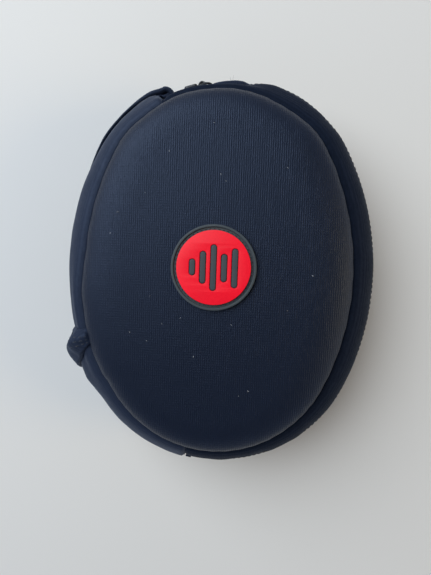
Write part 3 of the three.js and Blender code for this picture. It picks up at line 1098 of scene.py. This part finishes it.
def make_slider():
    """Two plates with a post between them, and an arched bail on the outer one."""
    lay = slider_matrix() @ Matrix.Rotation(math.radians(90), 4, "X")
    parts = []
    for name, outline, low, high, bevel, x in [
        ("outer", slider_outline(5.8, 4.6, 3.7), -0.9, 0.6, 0.45, 0),
        ("crown", slider_outline(3.6, 3.9, 3.4), -2.2, -0.5, 0.8, -2),
        ("inner", slider_outline(5.0, 4.0, 3.2), 3.4, 4.5, 0.35, 0),
        ("post", rectangle(2.5, 0.3), 0.4, 3.6, 0.05, -1),
    ]:
        part = flat_shape(f"slider_{name}", [outline], low, high, bevel, "gunmetal")
        part.data.transform(lay @ Matrix.Translation((x * MM, 0, 0)))
        parts.append(part)
    arch = []
    arch_steps = 16
    for i in range(arch_steps + 1):
        turn = 180 * i / arch_steps
        arch.append((BAIL_OFFSET + 0.3 - 1.9 * cosine(turn), 0.5 + 2.9 * sine(turn) ** 0.8))
    bail = flat_bar("slider_bail", arch, 0.42, 1.15)
    bail.data.transform(slider_matrix())
    piece = merge("slider_body", [*parts, bail])
    shade_by_angle(piece, 40)
    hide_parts("zip_slider")
    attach(piece, "slider")


def slider_outline(reach, wide, narrow):
    """A slider's plan: wide where the two rows enter, narrow where they leave joined."""
    half = [(-reach, narrow * 0.9), (-reach * 0.2, narrow), (reach * 0.75, wide), (reach, wide * 0.7)]
    corners = on_side(half, -1) + half[::-1]
    line = smooth(corners + corners[:1], 3)
    return line[:-1]


def rectangle(half_length, half_width):
    return [(-half_length, -half_width), (half_length, -half_width),
            (half_length, half_width), (-half_length, half_width)]


def flat_bar(name, path, thick, half_width):
    """A flat bar with rounded edges along a path of (x, y), in millimetres."""
    bar = rounded_box(-thick, thick, -half_width, half_width, thick * 0.7)
    columns = []
    for (x, y), (rise, run) in zip(path, normals(path)):
        columns.append([Vector((x - rise * out, y + run * out, up)) * MM for out, up in bar])
    return loft(name, columns, "gunmetal")


def tab_lean(height):
    """How far the pull tab leans in above the zip's plane."""
    return 0.06 * max(height, 0) ** 1.7


def tab_tip(angle):
    """1 at the tab's free end, and 0 a little further in."""
    return 1 - smoothstep(angle, TAB_START, TAB_START + 2.6)


def tab_face(angle, height):
    """The inset of the tab's outer face."""
    reach = mix(2.6, 1.4, smoothstep(angle, TAB_START + 5, TAB_END)) - tab_tip(angle) * 0.8
    return tab_lean(height) - reach - ripple_at(angle * 2, 0, 71, 0.3)


def make_pull():
    """The wire ring on the bail, and the cloth tab sewn round the ring."""
    centre = Vector((BAIL_OFFSET + RING_RADIUS, PIVOT_HEIGHT, 0))
    ring = loft("pull_wire_ring", ring_columns(RING_RADIUS, 0.5, centre, -8), "gunmetal", ring=True)
    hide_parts("pull_ring")
    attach(ring, "zip_pull")

    def section(angle):
        near_ring = smoothstep(angle, TAB_END - 4, TAB_END)
        low = mix(-4.9, -2.9, near_ring) + tab_tip(angle)
        high = mix(7.2, 4.5, near_ring) - tab_tip(angle)
        box = rounded_box(tab_face(angle, 0), 0.6, low, high, 0.8, 4)
        box = [(inset + tab_lean(height), height) for inset, height in box]
        return densified(box, 1.3)

    tab = sweep("pull_fabric_tab", section, TAB_START, TAB_END, "tab_cloth", 0.5, clear_point)
    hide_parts("pull_tab")
    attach(tab, "zip_pull")
    rows = []
    for edge in (-3.6, 3.6):
        route = even_angles(TAB_START + 1.2, TAB_END - 6, 1.4)
        for a, b in zip(route, route[1:]):
            first = mix(a, b, 0.15)
            second = mix(a, b, 0.85)
            start = clear_point(first, tab_face(first, edge) + 0.1, edge)
            finish = clear_point(second, tab_face(second, edge) + 0.1, edge)
            rows.append(thread_dash(start, finish, outward_at(a), 0.3 * MM, 0.3 * MM))
    stitches = joined("pull_tab_stitches", rows, "thread")
    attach(stitches, "zip_pull")
    make_tab_fuzz()


def make_tab_fuzz():
    """Loose threads that stand out of the tab's cut edges."""
    chance = random.Random(5)
    shapes = []
    short_threads = 46
    tab_middle = 1.1
    edge_reach = 5.5
    for _ in range(short_threads):
        angle = chance.uniform(TAB_START + 0.6, TAB_END - 4)
        edge = chance.choice((-1, 1))
        height = tab_middle + edge * edge_reach
        start = clear_point(angle, tab_face(angle, height) + chance.uniform(0.5, 1.4), height)
        lean = Vector((chance.uniform(-1, 1), chance.uniform(-0.2, 1), edge * chance.uniform(0.2, 1)))
        length = chance.uniform(0.5, 1.3)
        shapes.append(fibre(start, lean.normalized(), length, 0.05, chance))
    height = 3.6
    for angle, length in ((87.4, 2.8), (88.2, 2.1)):
        start = clear_point(angle, tab_face(angle, height) + 0.3, height)
        direction = (outward_at(angle, 30) + Vector((0.1, 0, 0))).normalized()
        shapes.append(fibre(start, direction, length, 0.07, chance))
    fuzz = joined("pull_tab_fuzz", shapes, "thread")
    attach(fuzz, "zip_pull")


def fibre(start, direction, length, radius, chance):
    """A thin bent thread, as a closed three-sided rod."""
    side = direction.orthogonal().normalized()
    other = direction.cross(side)
    bend = side * chance.uniform(-0.5, 0.5) + other * chance.uniform(-0.5, 0.5)
    points = []
    steps = 4
    for i in range(steps + 1):
        share = i / steps
        middle = start + (direction * share + bend * share * share * 0.6) * length * MM
        slim = radius * (1 - 0.6 * share) * MM
        for k in range(3):
            turn = 2 * math.pi * k / 3
            points.append(middle + side * math.cos(turn) * slim + other * math.sin(turn) * slim)
    faces = [(0, 1, 2), (3 * steps, 3 * steps + 1, 3 * steps + 2)]
    return points, faces + band_faces(steps + 1, 3)


make_stops()
make_end_tab()
make_slider()
make_pull()

# ---- Badge ----

BADGE_BOTTOM = 2 * HALF_DEPTH


def stadium(x, y, width, height, count=12):
    """An upright round-ended bar."""
    reach = (height - width) / 2
    top = [(x + width / 2 * cosine(180 * i / count), y + reach + width / 2 * sine(180 * i / count))
           for i in range(count + 1)]
    bottom = [(2 * x - px, 2 * y - py) for px, py in top]
    return top + bottom


def bar_outlines(grow):
    """The sound-level bars side by side, each made larger by grow."""
    x, y = BADGE_CENTRE
    middle = (len(BAR_HEIGHTS) - 1) / 2
    return [
        stadium(x + (i - middle) * BAR_PITCH, y, BAR_WIDTH + grow, height + grow)
        for i, height in enumerate(BAR_HEIGHTS)
    ]


def badge_layer(name, outlines, low, high, bevel, look):
    """A layer of the badge between two heights over its underside."""
    return flat_shape(name, outlines, BADGE_BOTTOM + low, BADGE_BOTTOM + high, bevel, look)


def make_badge():
    """A moulded rubber patch: plate and raised rim, red disc, and five sound-level bars."""
    edge = badge_circle(BADGE_RADIUS)
    rim_edges = [edge, badge_circle(BADGE_RADIUS - 1.1)]
    plate = badge_layer("badge_plate", [edge], 0.1, 1.2, 0.2, "grey_rubber")
    rim = badge_layer("badge_rim", rim_edges, 0.6, 2.1, 0.25, "grey_rubber")
    bars = [
        badge_layer(f"badge_bar_{i}", [outline], 1, 2.4, 0.22, "grey_rubber")
        for i, outline in enumerate(bar_outlines(0))
    ]
    base = merge("badge_moulding", [plate, rim, *bars])
    shade_by_angle(base)
    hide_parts("badge_base")
    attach(base, "lid")
    disc_edges = [badge_circle(DISC_RADIUS), *bar_outlines(0.45)]
    disc = badge_layer("badge_disc", disc_edges, 1.1, 2.1, 0.22, "red_rubber")
    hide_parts("badge_inlay")
    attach(disc, "lid")
    around = badge_circle(STITCH_RADIUS, STITCH_COUNT)
    spots = [
        (Vector((x, y, BADGE_BOTTOM + 1.3)) * MM, Vector((0, 0, 1)))
        for x, y in around + around[:1]
    ]
    ring = stitch_row("badge_stitches", spots, "badge_thread", width=0.4, height=0.35, share=0.62)
    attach(ring, "lid")


def make_lint():
    """White specks of lint on the front panel."""
    chance = random.Random(12)
    count = 20
    half_width = 52
    half_length = 74
    shapes = []
    while len(shapes) < count:
        x = chance.uniform(-half_width, half_width)
        y = chance.uniform(2 - half_length, half_length - 2)
        near_seam = math.hypot(x / half_width, y / half_length) > 0.95
        near_badge = math.hypot(x, y - BADGE_CENTRE[1]) < BADGE_RADIUS + 3
        if near_seam or near_badge:
            continue
        flat = Vector((chance.uniform(-1, 1), chance.uniform(-1, 1), 0.1)).normalized()
        start = Vector((x, y, 2 * HALF_DEPTH + 0.05)) * MM
        shapes.append(fibre(start, flat, chance.uniform(0.25, 0.8), 0.11, chance))
    lint = joined("lint_specks", shapes, "lint")
    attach(lint, "lid")


make_badge()
make_lint()
